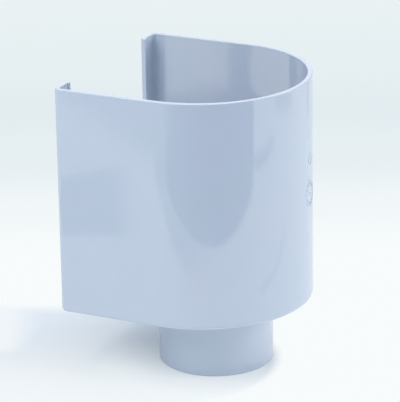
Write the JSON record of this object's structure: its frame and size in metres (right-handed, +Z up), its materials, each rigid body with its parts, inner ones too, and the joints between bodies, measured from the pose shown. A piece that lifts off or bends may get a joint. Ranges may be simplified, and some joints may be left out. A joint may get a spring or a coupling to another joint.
{
  "type": "rainwater hopper",
  "caption": "D-plan rainwater hopper, open at the top, with a notched back between two narrow lips and a plain round outlet spigot under its flat floor.",
  "frame": {"origin": "on the outlet spigot's axis, at the spigot's lower end", "axes": "+Z up through the box's open top, -Y towards the half-round front, +Y towards the wall, +X across the side walls"},
  "size_m": [0.15, 0.15, 0.2065],
  "materials": {
    "pvc": "glossy moulded"
  },
  "bodies": {
    "root": {"hopper": "pvc"}
  },
  "joints": []
}
